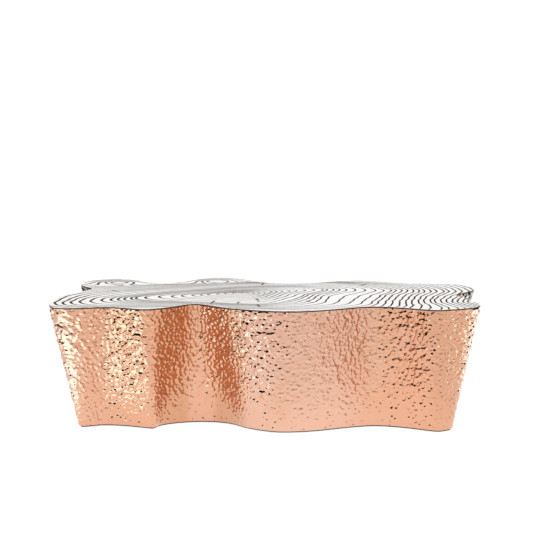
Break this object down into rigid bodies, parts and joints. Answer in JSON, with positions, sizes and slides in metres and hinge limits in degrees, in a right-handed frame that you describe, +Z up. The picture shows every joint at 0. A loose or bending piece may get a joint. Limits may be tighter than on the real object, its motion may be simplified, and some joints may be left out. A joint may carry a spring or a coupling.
{
  "type": "low freeform table",
  "caption": "Low freeform coffee table: wavy engraved metal top with growth rings on a leaning hammered copper wall over a timber carcass.",
  "frame": {"origin": "on the floor, under the middle of the top's bounding box", "axes": "+X along the length, +Y from the front (the side of the picture) to the back, +Z up"},
  "size_m": [1.4322, 0.966, 0.413],
  "materials": {
    "top_metal": "polished plate, engraved lines filled with dark patina",
    "hammered_copper": "polished copper sheet, hand hammered all over",
    "black_board": "black stained, satin",
    "plywood": "bare birch plywood",
    "pine": "bare planed softwood",
    "zinc_steel": "zinc plated",
    "foot_rubber": "matt moulded"
  },
  "bodies": {
    "carcass": {"top_plate": "top_metal", "top_former": "plywood", "mid_former": "plywood", "base_board": "black_board", "spine": "plywood", "rib_1": "plywood", "rib_2": "plywood", "rib_3": "plywood", "rib_4": "plywood", "skirt_front_left": "hammered_copper", "skirt_front_bay": "hammered_copper", "skirt_front_centre": "hammered_copper", "skirt_front_right": "hammered_copper", "skirt_right_end": "hammered_copper", "skirt_far_right": "hammered_copper", "skirt_far_bulge": "hammered_copper", "skirt_far_left": "hammered_copper", "skirt_left_end": "hammered_copper", "batten_left_flank": "pine", "batten_left_bulge": "pine", "batten_front_bay": "pine", "batten_right_bay": "pine", "batten_near_right_corner": "pine", "batten_far_right_lobe": "pine", "batten_far_middle_bay": "pine", "batten_far_left_bay": "pine", "batten_far_left_lobe": "pine", "former_screw_1": "zinc_steel", "former_screw_2": "zinc_steel", "former_screw_3": "zinc_steel", "former_screw_4": "zinc_steel", "former_screw_5": "zinc_steel", "former_screw_6": "zinc_steel", "former_screw_7": "zinc_steel", "former_screw_8": "zinc_steel", "former_screw_9": "zinc_steel", "foot_1_insert": "zinc_steel", "foot_2_insert": "zinc_steel", "foot_3_insert": "zinc_steel", "foot_4_insert": "zinc_steel", "foot_5_insert": "zinc_steel", "foot_6_insert": "zinc_steel"},
    "foot_1_pad": {"foot_1_pad": "foot_rubber"},
    "foot_1_stud": {"foot_1_stud": "zinc_steel"},
    "foot_2_pad": {"foot_2_pad": "foot_rubber"},
    "foot_2_stud": {"foot_2_stud": "zinc_steel"},
    "foot_3_pad": {"foot_3_pad": "foot_rubber"},
    "foot_3_stud": {"foot_3_stud": "zinc_steel"},
    "foot_4_pad": {"foot_4_pad": "foot_rubber"},
    "foot_4_stud": {"foot_4_stud": "zinc_steel"},
    "foot_5_pad": {"foot_5_pad": "foot_rubber"},
    "foot_5_stud": {"foot_5_stud": "zinc_steel"},
    "foot_6_pad": {"foot_6_pad": "foot_rubber"},
    "foot_6_stud": {"foot_6_stud": "zinc_steel"}
  },
  "joints": [
    {"name": "foot_1_travel", "type": "slide", "parent": "carcass", "child": "foot_1_pad", "axis": [0, 0, -1], "range_m": [-0.002, 0.01]},
    {"name": "foot_1_turn", "type": "hinge", "parent": "foot_1_pad", "child": "foot_1_stud", "pos_m": [-0.53392, -0.19, 0.02], "axis": [0, 0, -1], "range_deg": [-481, 2401]},
    {"name": "foot_2_travel", "type": "slide", "parent": "carcass", "child": "foot_2_pad", "axis": [0, 0, -1], "range_m": [-0.002, 0.01]},
    {"name": "foot_2_turn", "type": "hinge", "parent": "foot_2_pad", "child": "foot_2_stud", "pos_m": [0.03608, -0.3, 0.02], "axis": [0, 0, -1], "range_deg": [-481, 2401]},
    {"name": "foot_3_travel", "type": "slide", "parent": "carcass", "child": "foot_3_pad", "axis": [0, 0, -1], "range_m": [-0.002, 0.01]},
    {"name": "foot_3_turn", "type": "hinge", "parent": "foot_3_pad", "child": "foot_3_stud", "pos_m": [0.51108, -0.275, 0.02], "axis": [0, 0, -1], "range_deg": [-481, 2401]},
    {"name": "foot_4_travel", "type": "slide", "parent": "carcass", "child": "foot_4_pad", "axis": [0, 0, -1], "range_m": [-0.002, 0.01]},
    {"name": "foot_4_turn", "type": "hinge", "parent": "foot_4_pad", "child": "foot_4_stud", "pos_m": [0.55608, 0.135, 0.02], "axis": [0, 0, -1], "range_deg": [-481, 2401]},
    {"name": "foot_5_travel", "type": "slide", "parent": "carcass", "child": "foot_5_pad", "axis": [0, 0, -1], "range_m": [-0.002, 0.01]},
    {"name": "foot_5_turn", "type": "hinge", "parent": "foot_5_pad", "child": "foot_5_stud", "pos_m": [-0.12892, 0.295, 0.02], "axis": [0, 0, -1], "range_deg": [-481, 2401]},
    {"name": "foot_6_travel", "type": "slide", "parent": "carcass", "child": "foot_6_pad", "axis": [0, 0, -1], "range_m": [-0.002, 0.01]},
    {"name": "foot_6_turn", "type": "hinge", "parent": "foot_6_pad", "child": "foot_6_stud", "pos_m": [-0.52892, 0.25, 0.02], "axis": [0, 0, -1], "range_deg": [-481, 2401]}
  ],
  "couplings": [
    {"joint": "foot_1_turn", "follows": "foot_1_travel", "rad_per_m": 4188.8},
    {"joint": "foot_2_turn", "follows": "foot_2_travel", "rad_per_m": 4188.8},
    {"joint": "foot_3_turn", "follows": "foot_3_travel", "rad_per_m": 4188.8},
    {"joint": "foot_4_turn", "follows": "foot_4_travel", "rad_per_m": 4188.8},
    {"joint": "foot_5_turn", "follows": "foot_5_travel", "rad_per_m": 4188.8},
    {"joint": "foot_6_turn", "follows": "foot_6_travel", "rad_per_m": 4188.8}
  ]
}
